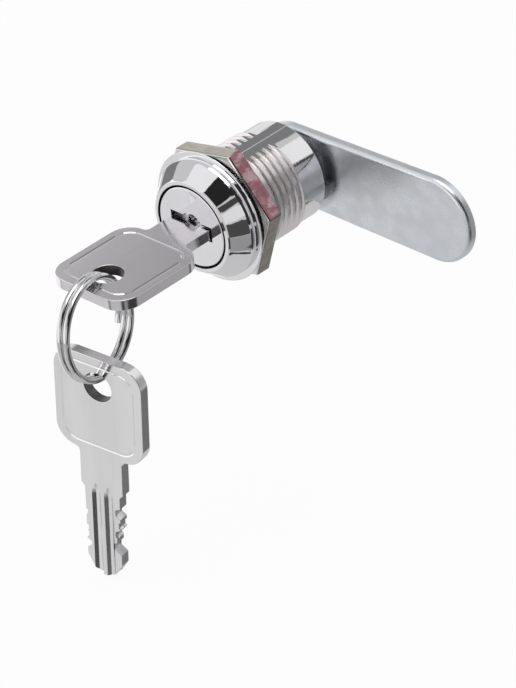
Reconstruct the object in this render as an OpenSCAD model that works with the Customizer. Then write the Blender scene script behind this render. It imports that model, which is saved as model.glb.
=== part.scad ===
// Mailbox cam lock with two keys on a split ring.
// The lock's axis is Y, with the key side at -Y. The cam points along +X and Z is up.
// The origin is on the axis, on the back face of the bezel. All sizes are in millimetres.

/* [Housing] */
// Outside diameter of the barrel over its thread
thread_d = 19.8; // [19.4:0.1:21]
// Diameter of the plain rear end of the barrel
tail_d = 19; // [18.6:0.1:19.2]
// Length of the barrel behind the bezel
barrel_len = 18.6; // [18.2:0.2:24]
// Length of the threaded part of the barrel
thread_len = 12.8; // [11:0.2:14]
// Pitch of the thread's ridges
thread_pitch = 1.5; // [1.4:0.05:1.6]
// Depth of the thread
thread_depth = 0.4; // [0.3:0.05:0.45]
// Distance from the axis to each relief flat on the barrel
flat_h = 9.35; // [9.2:0.05:9.4]
// Turn of the relief flats away from the vertical, in degrees
flat_turn = 6; // [0:1:12]
// Diameter of the bezel
bezel_d = 22.8; // [22.4:0.1:23.6]
// Height of the bezel in front of the panel
head_len = 6; // [5.6:0.1:6.6]
// Distance from the panel to the edge where the bezel's cone meets its rim
rim_len = 2.75; // [2.2:0.05:3.2]
// Crown of the rim between its edges and its middle
rim_crown = 0.17; // [0.1:0.01:0.3]
// Diameter of the flange at the foot of the bezel
flange_d = 25.2; // [24.4:0.1:26]
// Height of the flange in front of the panel
flange_t = 1.5; // [1.2:0.05:1.7]
// Draw-in of the flange's edge towards the panel
flange_taper = 1.4; // [1:0.05:1.6]
// Diameter at which the bezel's cone starts
front_ring_d = 18.3; // [17.8:0.1:19.4]

/* [Nut] */
// Width of the nut across its flats
nut_af = 23.1; // [22.8:0.1:25]
// Thickness of the nut
nut_t = 3.3; // [2.5:0.1:4.5]
// Gap between the bezel and the nut
nut_gap = 0.3; // [0.1:0.1:1]
// Turn of the nut, in degrees
nut_turn = 11.4; // [0:0.2:30]
// Width of the broken edges of the nut
nut_edge = 0.25; // [0.1:0.05:0.5]
// Clearance of the nut around the barrel
nut_play = 0.06; // [0.02:0.01:0.1]

/* [Plug] */
// Diameter of the plug's front face
plug_head_d = 15.6; // [15.3:0.1:15.9]
// Diameter of the plug behind its head
plug_d = 14.4; // [14.2:0.1:14.6]
// Thickness of the plug's head
plug_head_t = 2.4; // [2:0.1:2.6]
// Clearance of the plug in its bore
plug_play = 0.05; // [0.02:0.01:0.08]
// Depth of the pocket in the face that takes the key's neck
neck_pocket = 1.8; // [1.5:0.1:2]
// Diameter of the round recess in the face
face_recess_d = 5.5; // [4.5:0.1:6]
// Depth of the round recess
face_recess = 1.7; // [1:0.1:2]
// Side of the square post that carries the cam
post_w = 6.5; // [6:0.1:7]
// Quarter turn allowed by the stop, in degrees
turn_angle = 90; // [88:1:92]

/* [Wafers] */
// Thickness of a wafer
wafer_t = 1.2; // [1:0.05:1.3]
// Height of a wafer across its sides
wafer_h = 6.6; // [6.2:0.1:6.8]
// Spacing of the wafers
wafer_pitch = 2.3; // [2.2:0.05:2.4]
// Distance from the key's shoulder to the first wafer
first_wafer = 2.9; // [2.8:0.1:3.2]
// Travel of a wafer into its housing groove
wafer_lift = 0.9; // [0.6:0.05:0.95]
// Outside diameter of a wafer spring
spring_d = 1; // [0.8:0.05:1]
// Wire diameter of a wafer spring
spring_wire = 0.2; // [0.15:0.01:0.22]

/* [Key] */
// Thickness of a key
key_t = 2.1; // [1.9:0.05:2.3]
// Width of the blade
blade_w = 7.4; // [7:0.1:7.6]
// Length of the blade from its shoulder to its tip
blade_len = 18.5; // [17.6:0.1:18.6]
// Width of the neck
neck_w = 9; // [8.4:0.1:9.6]
// Length of the neck
neck_len = 8.3; // [7:0.1:10]
// Width of the bow
bow_w = 18.5; // [17:0.1:22]
// Length of the bow
bow_len = 20.4; // [19:0.1:24]
// Corner radius of the bow
bow_r = 4.2; // [3:0.1:5]
// Diameter of the hole for the ring
hole_d = 5.8; // [5.6:0.1:6.4]
// Distance from the bow's end to the hole's centre
hole_edge = 6; // [5.6:0.1:6.2]
// Distance of the coined border line from the bow's edge
border_in = 1.5; // [1.2:0.1:1.8]
// Width of the coined border line
border_w = 0.4; // [0.3:0.05:0.6]
// Depth of the coined border line
border_depth = 0.15; // [0.1:0.01:0.2]
// Distance of each milled groove from the key's centre line
groove_x = 1.3; // [1.1:0.05:1.5]
// Width of a milled groove at the surface
groove_w = 1.1; // [0.9:0.05:1.2]
// Depth of a milled groove
groove_depth = 0.5; // [0.4:0.05:0.6]
// Radius of the cutter that leaves the pointed end of a groove
cutter_r = 9; // [7:0.5:12]

/* [Cam] */
// Width of the cam at its hub
cam_w = 15.6; // [14:0.1:17]
// Width of the cam at its round end
cam_end_w = 16.7; // [14:0.1:18]
// Distance from the axis to the centre of the cam's round end
cam_reach = 33; // [20:0.5:45]
// Thickness of the cam
cam_t = 2; // [1.6:0.1:2.6]
// Thickness of the stop washer
stop_t = 1.5; // [1.2:0.1:1.8]
// Length of the cam screw's shank
screw_len = 7.5; // [6.5:0.1:7.8]

/* [Split ring] */
// Outside diameter of the split ring
ring_d = 19.4; // [18.8:0.1:22]
// Diameter of the ring's wire
wire_d = 1.15; // [0.9:0.05:1.2]
// Turn of the ring about the vertical, in degrees
ring_yaw = 10.4; // [0:0.1:12]
// Lean of the ring, in degrees
ring_tilt = -4.7; // [-6:0.1:0]
// Turn of the hanging key about the vertical, in degrees
hang_yaw = 9.4; // [0:0.1:12]
// Lean of the hanging key in its own plane, in degrees
hang_lean = 4.2; // [0:0.1:8]

/* [Hidden] */
$fn = 48;
eps = 0.01;
big = 60;
// Cuts on each side of the blade, as distance from the shoulder and depth
right_cuts = [[3.6, 1], [6.2, 0.35], [8.4, 1.15], [9.8, 0.85], [11.2, 1.6]];
left_cuts = [[5.7, 0.3], [9.2, 0.35], [10.6, 0.4], [12.6, 0.87]];
cut_flat = 1.1;
tip_w = 3;
tip_len = 3.5;
shoulder_slant = 0.8;
neck_fillet = 0.9;
thread_r = thread_d / 2;
tail_r = tail_d / 2;
bezel_r = bezel_d / 2;
front_r = front_ring_d / 2;
flange_r = flange_d / 2;
flange_round = 0.15;
rim_h = rim_len - flange_t;
rim_points = [for (t = [0:1 / 6:1.01]) [bezel_r - rim_crown * pow(2 * t - 1, 2), rim_h * t - rim_len]];
thread_root_r = thread_r - thread_depth;
thread_ridge_w = thread_pitch * 0.24;
thread_root_w = thread_pitch * 0.4;
first_thread_y = 1.45;
thread_grooves = floor((thread_len - first_thread_y - thread_pitch / 2) / thread_pitch) + 1;
thread_points = [
    for (i = [0:thread_grooves - 1])
        let (mid = first_thread_y + i * thread_pitch)
            each [
                [thread_r, mid - (thread_pitch - thread_ridge_w) / 2],
                [thread_root_r, mid - thread_root_w / 2],
                [thread_root_r, mid + thread_root_w / 2],
                [thread_r, mid + (thread_pitch - thread_ridge_w) / 2]
            ]
];
plug_head_r = plug_head_d / 2;
plug_r = plug_d / 2;
head_bore_r = plug_head_r + plug_play;
bore_r = plug_r + plug_play;
face_y = -head_len;
head_back_y = face_y + plug_head_t;
seat_y = head_back_y + 0.1;
rear_gap = 0.25;
post_y = barrel_len + rear_gap;
cam_y = post_y + stop_t;
cam_back_y = cam_y + cam_t;
post_end_y = cam_back_y - 0.2;
post_round_r = post_w * 0.646;
post_play = 0.05;
shoulder_y = face_y + neck_pocket - 0.05;
keyway_play = 0.15;
keyway_end_y = shoulder_y + blade_len + 0.4;
lock_washer_t = 1;
lock_washer_r = 4.9;
screw_r = 2;
screw_head_r = 4.2;
screw_head_h = 2.4;
screw_end_y = cam_back_y + lock_washer_t - screw_len;
screw_hole_end_y = screw_end_y - 0.25;
wafer_r = plug_r - 0.1;
wafer_play = 0.05;
groove_r = wafer_r + wafer_lift + 0.25;
groove_half = wafer_h / 2 + 0.25;
window_near = blade_w / 2 + 0.15;
window_far = blade_w / 2 + wafer_lift + 0.15;
window_h = key_t + 0.3;
lug_w = 1;
lug_z = 5;
pocket_x = 3.4;
pocket_z = lug_z + 0.1;
spring_z = wafer_h / 2 + spring_d / 2 + 0.25;
spring_turns = 5;
spring_steps = 12;
stop_at = 200;
stop_w = 40;
stop_slack = 1;
stop_in_r = 7.75;
stop_out_r = 8.9;
stop_disc_r = stop_in_r - 0.3;
stop_lug_w = 22;
stop_h = rear_gap + stop_t - 0.25;
bow_end_y = -neck_len - bow_len;
hole_r = hole_d / 2;
hole_y = bow_end_y + hole_edge;
ring_r = ring_d / 2;
ring_mid_r = ring_r - wire_d / 2;
ring_in_r = ring_r - wire_d;
coil_x = wire_d * 0.48;
ring_x = 1.3;
ring_slack = 0.97;
ring_clear = 0.33;
ring_z = -(ring_in_r - key_t / 2 - ring_slack);
hole_reach = sqrt(hole_r * hole_r - pow(wire_d + 0.02, 2));
ring_dip = -ring_z - key_t / 2;
ring_y = shoulder_y + hole_y + hole_reach - ring_clear - sqrt(ring_r * ring_r - ring_dip * ring_dip);
hang_drop = hole_r - wire_d + 0.1;
hang_x = ring_x - ring_mid_r * sin(ring_tilt) * cos(ring_yaw) + 0.3;
hang_y = ring_y - ring_mid_r * sin(ring_tilt) * sin(ring_yaw) - 0.9;
hang_z = ring_z - ring_mid_r * cos(ring_tilt);
split_at = 102;
split_w = 24;

function wafer_y(i) = shoulder_y + first_wafer + (i - 1) * wafer_pitch;
function wafer_side(i) = (i % 2 == 1) ? 1 : -1;

// Stands a child that is drawn along Z on the lock's axis, starting at y0
module along_y(y0) {
    translate([0, y0, 0])
        rotate([-90, 0, 0])
            children();
}

// A ring sector about the axis, between two angles counted from +X towards +Z
module sector(r_in, r_out, from_a, to_a, y0, len) {
    along_y(y0)
        rotate([0, 0, -to_a])
            rotate_extrude(angle = to_a - from_a)
                translate([r_in, 0])
                    square([r_out - r_in, len]);
}

// A rectangle with round corners, centred
module round_rect(w, l, r) {
    square([w - 2 * r, l], center = true);
    square([w, l - 2 * r], center = true);
    for (sx = [-1, 1])
        for (sy = [-1, 1])
            translate([sx * (w / 2 - r), sy * (l / 2 - r)])
                circle(r = r);
}

// The square of the cam post, with its corners turned off
module post_shape(play) {
    intersection() {
        square(post_w + 2 * play, center = true);
        circle(r = post_round_r + play);
    }
}

// Four channels along the bore that the wafers spring into
module wafer_channels() {
    along_y(seat_y + 1.1)
        intersection() {
            cylinder(r = groove_r, h = big);
            union() {
                translate([-big / 2, -groove_half, 0])
                    cube([big, 2 * groove_half, big]);
                translate([-groove_half, -big / 2, 0])
                    cube([2 * groove_half, big, big]);
            }
        }
}

module housing() {
    color([0.75, 0.75, 0.77])
    difference() {
        union() {
            rotate([-90, 0, 0])
                rotate_extrude()
                    polygon([
                        [0, -head_len],
                        [front_r - 0.35, -head_len],
                        [front_r, -head_len + 0.45],
                        each rim_points,
                        [flange_r - flange_round, -flange_t],
                        [flange_r, flange_round - flange_t],
                        [flange_r - flange_taper, 0],
                        [thread_r, 0],
                        each thread_points,
                        [thread_r, thread_len],
                        [tail_r, thread_len + thread_r - tail_r],
                        [tail_r, barrel_len - 0.25],
                        [tail_r - 0.25, barrel_len],
                        [0, barrel_len]
                    ]);
            sector(stop_in_r, stop_out_r, stop_at, stop_at + stop_w, barrel_len - 0.5, stop_h + 0.5);
        }
        along_y(face_y - 1)
            cylinder(r = head_bore_r, h = seat_y - face_y + 1);
        along_y(face_y - eps)
            cylinder(r1 = head_bore_r + 0.3, r2 = head_bore_r, h = 0.3);
        along_y(face_y)
            cylinder(r = bore_r, h = big);
        wafer_channels();
        for (s = [0, 180])
            rotate([0, flat_turn + s, 0])
                translate([-big / 2, 0, flat_h])
                    cube([big, big, big]);
    }
}

module mounting_nut() {
    corner_r = nut_af / 2 / cos(30);
    color([0.72, 0.70, 0.60])
    along_y(nut_gap)
        difference() {
            rotate([0, 0, -nut_turn]) {
                cylinder(r1 = corner_r - nut_edge, r2 = corner_r, h = nut_edge, $fn = 6);
                translate([0, 0, nut_edge])
                    cylinder(r = corner_r, h = nut_t - 2 * nut_edge, $fn = 6);
                translate([0, 0, nut_t - nut_edge])
                    cylinder(r1 = corner_r, r2 = corner_r - nut_edge, h = nut_edge, $fn = 6);
            }
            translate([0, 0, -1])
                cylinder(r = thread_r + nut_play, h = nut_t + 2);
        }
}

// The key's path through the plug, with two warding ribs left standing on each side
module keyway() {
    half_w = blade_w / 2 + keyway_play;
    half_t = key_t / 2 + keyway_play;
    rib_h = groove_depth * 0.6 + keyway_play;
    rib_w = groove_w * 0.3;
    rib_y = shoulder_y + 1.6;
    difference() {
        translate([-half_w, face_y - 1, -half_t])
            cube([2 * half_w, keyway_end_y - face_y + 1, 2 * half_t]);
        for (sx = [-1, 1])
            for (sz = [-1, 1])
                translate([sx * groove_x - rib_w / 2, rib_y, sz * (half_t - rib_h / 2) - rib_h / 2])
                    cube([rib_w, big, rib_h]);
    }
}

// The slot in the plug for one wafer and its spring
module wafer_slot(i) {
    slot_t = wafer_t + 2 * wafer_play;
    translate([0, wafer_y(i) - slot_t / 2, 0])
        mirror([wafer_side(i) < 0 ? 1 : 0, 0, 0]) {
            translate([-big / 2, 0, -wafer_h / 2 - wafer_play])
                cube([big, slot_t, wafer_h + 2 * wafer_play]);
            translate([-pocket_x, 0, 0])
                cube([pocket_x + lug_w + wafer_lift + 0.2, slot_t, pocket_z]);
        }
}

module plug() {
    pocket_w = neck_w + 0.7;
    pocket_h = key_t + 0.8;
    color([0.80, 0.80, 0.82])
    difference() {
        union() {
            rotate([-90, 0, 0])
                rotate_extrude()
                    polygon([
                        [0, face_y],
                        [plug_head_r - 0.25, face_y],
                        [plug_head_r, face_y + 0.25],
                        [plug_head_r, head_back_y],
                        [plug_r, head_back_y],
                        [plug_r, post_y],
                        [0, post_y]
                    ]);
            along_y(post_y - 1)
                linear_extrude(post_end_y - post_y + 1)
                    post_shape(0);
        }
        keyway();
        translate([-pocket_w / 2, face_y - 1, -pocket_h / 2])
            cube([pocket_w, neck_pocket + 1, pocket_h]);
        along_y(face_y - 1)
            cylinder(d = face_recess_d, h = face_recess * 0.4 + 1);
        along_y(face_y - 1)
            cylinder(d = face_recess_d - 1.1, h = face_recess + 1);
        for (i = [1:6])
            wafer_slot(i);
        along_y(screw_hole_end_y)
            cylinder(r = screw_r + post_play, h = big);
    }
}

// A sprung plate with a window for the blade and a lug for its spring
module wafer(i) {
    color([0.80, 0.66, 0.36])
    translate([0, wafer_y(i) - wafer_t / 2, 0])
        mirror([wafer_side(i) < 0 ? 1 : 0, 0, 0])
            rotate([-90, 0, 0])
                linear_extrude(wafer_t)
                    difference() {
                        union() {
                            intersection() {
                                circle(r = wafer_r);
                                square([big, wafer_h], center = true);
                            }
                            translate([0, -lug_z])
                                square([lug_w, lug_z]);
                        }
                        translate([-window_far, -window_h / 2])
                            square([window_far + window_near, window_h]);
                    }
}

// A coil spring that lies along X, between the plug and a wafer's lug
module wafer_spring(i) {
    w = spring_wire / 2;
    coil_r = spring_d / 2 - w;
    count = spring_turns * spring_steps;
    start = -pocket_x + w + 0.05;
    rise = (pocket_x - 2 * w - 0.1) / count;
    points = [
        for (k = [0:count])
            for (b = [0:90:270])
                [start + rise * k + w * sin(b),
                 (coil_r + w * cos(b)) * cos(360 * k / spring_steps),
                 (coil_r + w * cos(b)) * sin(360 * k / spring_steps)]
    ];
    sides = [
        for (k = [0:count - 1])
            for (b = [0:3])
                each [
                    [4 * k + b, 4 * k + (b + 1) % 4, 4 * (k + 1) + (b + 1) % 4],
                    [4 * k + b, 4 * (k + 1) + (b + 1) % 4, 4 * (k + 1) + b]
                ]
    ];
    first = [[0, 3, 2], [0, 2, 1]];
    last = [[4 * count, 4 * count + 1, 4 * count + 2], [4 * count, 4 * count + 2, 4 * count + 3]];
    color([0.70, 0.71, 0.73])
    translate([0, wafer_y(i), spring_z])
        mirror([wafer_side(i) < 0 ? 1 : 0, 0, 0])
            polyhedron(points = points, faces = concat(sides, first, last));
}

module wafer_1() { wafer(1); }
module wafer_2() { wafer(2); }
module wafer_3() { wafer(3); }
module wafer_4() { wafer(4); }
module wafer_5() { wafer(5); }
module wafer_6() { wafer(6); }
module wafer_spring_1() { wafer_spring(1); }
module wafer_spring_2() { wafer_spring(2); }
module wafer_spring_3() { wafer_spring(3); }
module wafer_spring_4() { wafer_spring(4); }
module wafer_spring_5() { wafer_spring(5); }
module wafer_spring_6() { wafer_spring(6); }

// A disc with two lugs, which run against the housing's stop from either side
module stop_washer() {
    low_a = stop_at - stop_slack;
    high_a = stop_at + stop_w + turn_angle + stop_slack;
    color([0.25, 0.25, 0.27]) {
        along_y(post_y)
            linear_extrude(stop_t)
                difference() {
                    circle(r = stop_disc_r);
                    post_shape(post_play);
                }
        sector(stop_disc_r - 1, stop_out_r, low_a - stop_lug_w, low_a, post_y, stop_t);
        sector(stop_disc_r - 1, stop_out_r, high_a, high_a + stop_lug_w, post_y, stop_t);
    }
}

// Outline of the cam: a hub and a round end, joined by sides that run a little inside their tangents
module cam_outline() {
    hub_r = cam_w / 2;
    end_r = cam_end_w / 2;
    inset = 0.02;
    lean = asin((end_r - hub_r) / cam_reach);
    side = [-sin(lean), cos(lean)];
    other = [-sin(lean), -cos(lean)];
    far = [cam_reach, 0];
    circle(r = hub_r);
    translate(far)
        circle(r = end_r);
    polygon([
        (hub_r - inset) * side,
        (hub_r - inset) * other,
        far + (end_r - inset) * other,
        far + (end_r - inset) * side
    ]);
}

module cam() {
    color([0.70, 0.72, 0.75])
    along_y(cam_y)
        linear_extrude(cam_t)
            difference() {
                cam_outline();
                post_shape(post_play);
            }
}

module lock_washer() {
    color([0.66, 0.67, 0.70])
    sector(screw_r + 0.1, lock_washer_r, 8, 352, cam_back_y, lock_washer_t);
}

module cam_screw() {
    head_y = cam_back_y + lock_washer_t;
    color([0.70, 0.71, 0.74])
    difference() {
        union() {
            along_y(screw_end_y)
                cylinder(r = screw_r, h = screw_len + 0.5);
            along_y(head_y)
                rotate_extrude()
                    polygon([
                        [0, 0],
                        [screw_head_r, 0],
                        [screw_head_r, screw_head_h * 0.55],
                        [screw_head_r * 0.9, screw_head_h * 0.82],
                        [screw_head_r * 0.7, screw_head_h],
                        [0, screw_head_h]
                    ]);
        }
        for (a = [0, 90])
            along_y(head_y + screw_head_h - 1.3)
                rotate([0, 0, a])
                    translate([-2.2, -0.4, 0])
                        cube([4.4, 0.8, 2]);
    }
}

// One cut in the side of the blade, seen from above
module bitting_cut(side, at, depth) {
    edge = blade_w / 2;
    polygon([
        [side * (edge - depth), at - cut_flat / 2],
        [side * (edge + 1), at - cut_flat / 2 - depth * 0.6 - 0.6],
        [side * (edge + 1), at + cut_flat / 2 + depth * 0.6 + 0.6],
        [side * (edge - depth), at + cut_flat / 2]
    ]);
}

// Outline of the key, with the shoulder at y = 0 and the blade along +y
module key_outline() {
    difference() {
        polygon([
            [-blade_w / 2, -1],
            [blade_w / 2, -1],
            [blade_w / 2, blade_len - tip_len],
            [tip_w / 2, blade_len - 0.4],
            [tip_w / 4, blade_len],
            [-tip_w / 4, blade_len],
            [-tip_w / 2, blade_len - 0.4],
            [-blade_w / 2, blade_len - tip_len]
        ]);
        for (c = right_cuts)
            bitting_cut(1, c[0], c[1]);
        for (c = left_cuts)
            bitting_cut(-1, c[0], c[1]);
    }
    polygon([
        [-neck_w / 2, -neck_len - 1],
        [neck_w / 2, -neck_len - 1],
        [neck_w / 2, -shoulder_slant],
        [blade_w / 2, 0],
        [-blade_w / 2, 0],
        [-neck_w / 2, -shoulder_slant]
    ]);
    difference() {
        translate([0, -neck_len - bow_len / 2])
            round_rect(bow_w, bow_len, bow_r);
        translate([0, hole_y])
            circle(r = hole_r);
    }
    for (s = [-1, 1])
        difference() {
            translate([s * (neck_w / 2 + neck_fillet / 2) - neck_fillet / 2, -neck_len - 0.2])
                square([neck_fillet, neck_fillet + 0.2]);
            translate([s * (neck_w / 2 + neck_fillet), -neck_len + neck_fillet])
                circle(r = neck_fillet);
        }
}

// The coined line around the bow
module border_line() {
    translate([0, -neck_len - bow_len / 2])
        difference() {
            round_rect(bow_w - 2 * border_in, bow_len - 2 * border_in, bow_r - border_in * 0.6);
            round_rect(bow_w - 2 * (border_in + border_w), bow_len - 2 * (border_in + border_w),
                bow_r - border_in * 0.6 - border_w);
        }
}

// One milled groove: a straight run to the tip and the round cutter's pointed run-out
module key_groove() {
    flat = groove_w * 0.36;
    run_y = 1.3;
    translate([0, blade_len + 1, 0])
        rotate([90, 0, 0])
            linear_extrude(blade_len + 1 - run_y)
                polygon([
                    [-flat / 2, -groove_depth],
                    [flat / 2, -groove_depth],
                    [groove_w / 2, 0],
                    [groove_w / 2, 0.5],
                    [-groove_w / 2, 0.5],
                    [-groove_w / 2, 0]
                ]);
    translate([0, run_y, cutter_r - groove_depth])
        rotate([0, 90, 0])
            rotate_extrude()
                polygon([
                    [0, -groove_w / 2],
                    [cutter_r - groove_depth, -groove_w / 2],
                    [cutter_r, -flat / 2],
                    [cutter_r, flat / 2],
                    [cutter_r - groove_depth, groove_w / 2],
                    [0, groove_w / 2]
                ]);
}

// A whole key, lying flat with its thickness along z
module key_blank() {
    difference() {
        translate([0, 0, -key_t / 2])
            linear_extrude(key_t)
                key_outline();
        for (turn = [0, 180])
            rotate([0, turn, 0]) {
                for (s = [-1, 1])
                    translate([s * groove_x, 0, key_t / 2])
                        key_groove();
                translate([0, 0, key_t / 2 - border_depth])
                    linear_extrude(1)
                        border_line();
            }
    }
}

module key() {
    color([0.78, 0.77, 0.73])
    translate([0, shoulder_y, 0])
        key_blank();
}

module spare_key() {
    color([0.78, 0.77, 0.73])
    translate([hang_x, hang_y, hang_z])
        rotate([0, hang_lean, hang_yaw])
            translate([0, 0, -hang_drop])
                rotate([-90, 0, 0])
                    translate([0, -hole_y, 0])
                        key_blank();
}

// Two turns of wire side by side, with the cross-over and the two free ends
module split_ring() {
    step_r = ring_mid_r;
    end_a = split_w + 2;
    from = [step_r * cos(-2), step_r * sin(-2), -coil_x];
    to = [step_r * cos(end_a), step_r * sin(end_a), coil_x];
    d = to - from;
    len = norm(d);
    color([0.85, 0.85, 0.87])
    translate([ring_x, ring_y, ring_z])
        rotate([0, ring_tilt, ring_yaw])
        rotate([0, 90, 0])
            rotate([0, 0, split_at]) {
                rotate([0, 0, split_w])
                    rotate_extrude(angle = 360 - split_w)
                        translate([ring_mid_r, 0])
                            for (s = [-1, 1])
                                translate([0, s * coil_x])
                                    circle(d = wire_d);
                translate(from)
                    rotate([0, acos(d[2] / len), atan2(d[1], d[0])])
                        cylinder(d = wire_d * 0.94, h = len);
            }
}

housing();
mounting_nut();
plug();
wafer_1();
wafer_2();
wafer_3();
wafer_4();
wafer_5();
wafer_6();
wafer_spring_1();
wafer_spring_2();
wafer_spring_3();
wafer_spring_4();
wafer_spring_5();
wafer_spring_6();
stop_washer();
cam();
lock_washer();
cam_screw();
key();
spare_key();
split_ring();
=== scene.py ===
"""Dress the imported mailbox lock: a chrome housing, a zinc nut and cam, and two keys on a split ring.

The classes hold sizes in millimetres and the meshes are in metres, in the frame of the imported
model: the lock's axis is Y, the key side is -Y, the cam points along +X and Z is up.
"""

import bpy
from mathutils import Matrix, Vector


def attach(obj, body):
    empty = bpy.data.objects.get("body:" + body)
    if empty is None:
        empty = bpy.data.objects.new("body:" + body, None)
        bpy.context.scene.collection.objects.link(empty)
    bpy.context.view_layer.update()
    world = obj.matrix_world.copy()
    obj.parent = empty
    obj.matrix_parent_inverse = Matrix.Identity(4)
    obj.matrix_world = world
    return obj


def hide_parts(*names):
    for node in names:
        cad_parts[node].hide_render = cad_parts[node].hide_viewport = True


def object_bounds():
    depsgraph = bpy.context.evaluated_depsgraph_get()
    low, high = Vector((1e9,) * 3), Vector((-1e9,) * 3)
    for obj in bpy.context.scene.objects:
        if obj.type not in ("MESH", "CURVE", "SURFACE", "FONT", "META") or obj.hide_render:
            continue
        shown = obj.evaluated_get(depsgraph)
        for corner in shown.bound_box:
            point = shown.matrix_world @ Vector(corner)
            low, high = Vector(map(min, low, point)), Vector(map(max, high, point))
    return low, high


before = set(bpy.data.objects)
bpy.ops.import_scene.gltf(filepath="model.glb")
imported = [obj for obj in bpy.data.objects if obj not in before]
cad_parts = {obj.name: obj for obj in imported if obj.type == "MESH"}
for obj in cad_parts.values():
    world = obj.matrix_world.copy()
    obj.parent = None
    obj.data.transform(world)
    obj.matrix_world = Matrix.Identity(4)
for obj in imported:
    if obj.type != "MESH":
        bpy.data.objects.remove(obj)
CAD_BOX = [list(corner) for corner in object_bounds()]

import logging
import math
from dataclasses import dataclass, field, replace
from enum import Enum
from typing import Callable, Optional, Sequence

import bmesh
import bpy
from mathutils import Matrix, Vector

LOG = logging.getLogger("mailbox_lock")
MM = 0.001
SHARP_EDGE = math.radians(24.0)
TOUCH_MM = 0.01
# Near-black painted shade for the gap where the plug meets its bore
SEAT_PAINTED_SHADE = (0.012, 0.012, 0.013, 1.0)

Edge = bmesh.types.BMEdge
Piece = bpy.types.Object
Socket = bpy.types.NodeSocket
Triple = tuple[float, float, float]


class Body(Enum):
    """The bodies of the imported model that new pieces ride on."""

    HOUSING = "housing"
    NUT = "nut"
    PLUG = "plug_group"
    KEY = "key_body"
    RING = "ring_body"
    SPARE = "spare_key_body"


class Slot(Enum):
    """The record's material slots, one for each finish; place is handed one but does not use it."""

    HOUSING = "housing_chrome"
    NUT = "nut_zinc"
    PLUG = "plug_chrome"
    STOP = "stop_dark"
    CAM = "cam_zinc"
    REAR = "rear_zinc"
    KEY = "key_nickel"
    RING = "ring_steel"


# Modelling steps


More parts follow.
